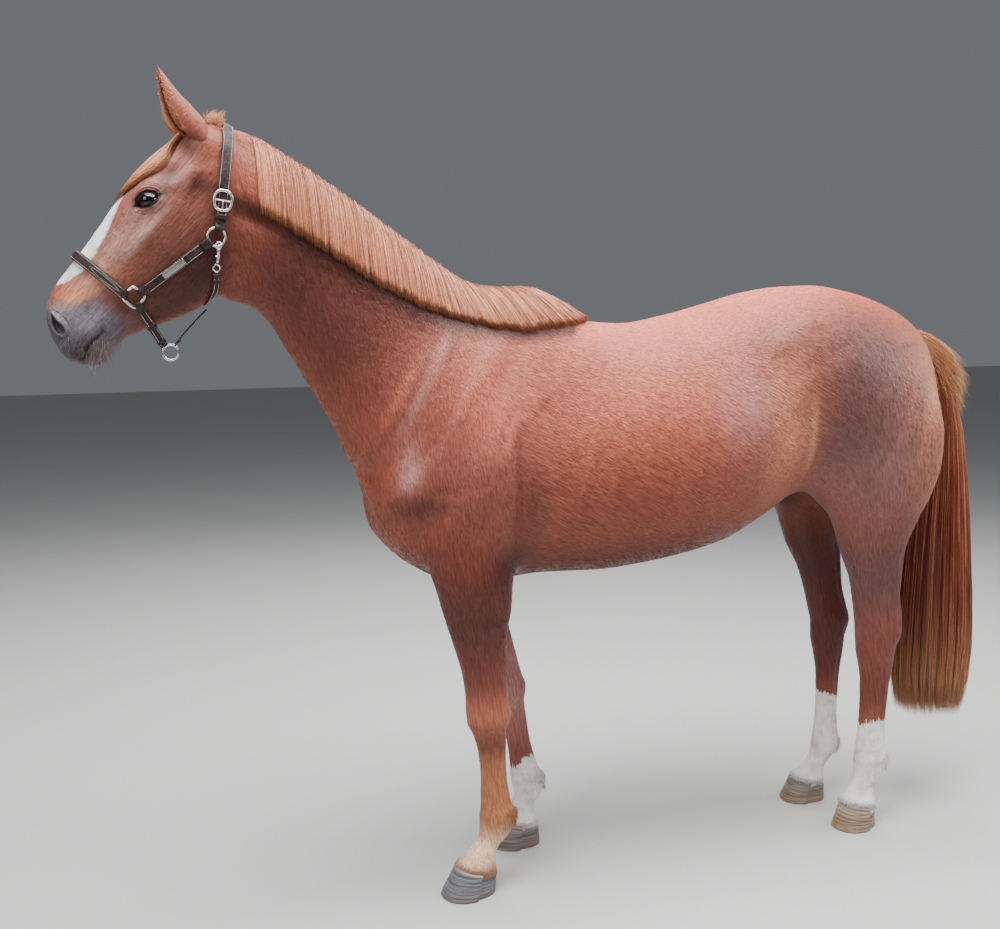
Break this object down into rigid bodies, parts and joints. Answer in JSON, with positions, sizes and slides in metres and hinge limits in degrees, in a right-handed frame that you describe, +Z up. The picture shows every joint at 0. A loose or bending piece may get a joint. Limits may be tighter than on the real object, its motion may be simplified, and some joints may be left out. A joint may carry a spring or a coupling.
{
  "type": "horse",
  "caption": "Life-size chestnut warmblood horse standing still in a leather head halter, with a combed mane, a straight-cut tail, a white blaze and white socks.",
  "frame": {"origin": "centre of the bounding box's base, on the ground between the hooves", "axes": "+Z up; -X is the way the horse faces, so +X points to the tail; -Y is the horse's left side"},
  "size_m": [2.6993, 0.5694, 2.1284],
  "materials": {
    "flesh": "short glossy chestnut coat on skin",
    "head": "short chestnut coat on skin, bare grey skin at the muzzle",
    "eye": "wet dark brown eye",
    "mane": "straight combed light chestnut hair",
    "forelock": "golden hair",
    "tail": "long straight auburn hair with golden streaks",
    "hoof": "dull grey horn with growth rings",
    "leather": "dark brown waxed leather with pale stitching",
    "metal": "polished nickel"
  },
  "bodies": {
    "root": {"trunk": "flesh", "neck": "flesh", "head": "head", "eye_left": "eye", "ear_left": "head", "eye_right": "eye", "ear_right": "head", "foreleg_left": "flesh", "forehoof_left": "hoof", "foreleg_right": "flesh", "forehoof_right": "hoof", "hindleg_left": "flesh", "hindhoof_left": "hoof", "hindleg_right": "flesh", "hindhoof_right": "hoof", "mane": "mane", "forelock": "forelock", "tail": "tail", "noseband": "leather", "crown_strap": "leather", "throat_strap": "leather", "jaw_strap": "leather", "cheek_strap_left": "leather", "chin_strap_left": "leather", "cheek_strap_right": "leather", "chin_strap_right": "leather", "throat_snap": "metal", "throat_loop": "metal", "name_plate": "metal", "chin_ring": "metal", "round_ring_left": "metal", "square_ring_left": "metal", "crown_buckle_left": "metal", "round_ring_right": "metal", "square_ring_right": "metal", "crown_buckle_right": "metal"}
  },
  "joints": []
}
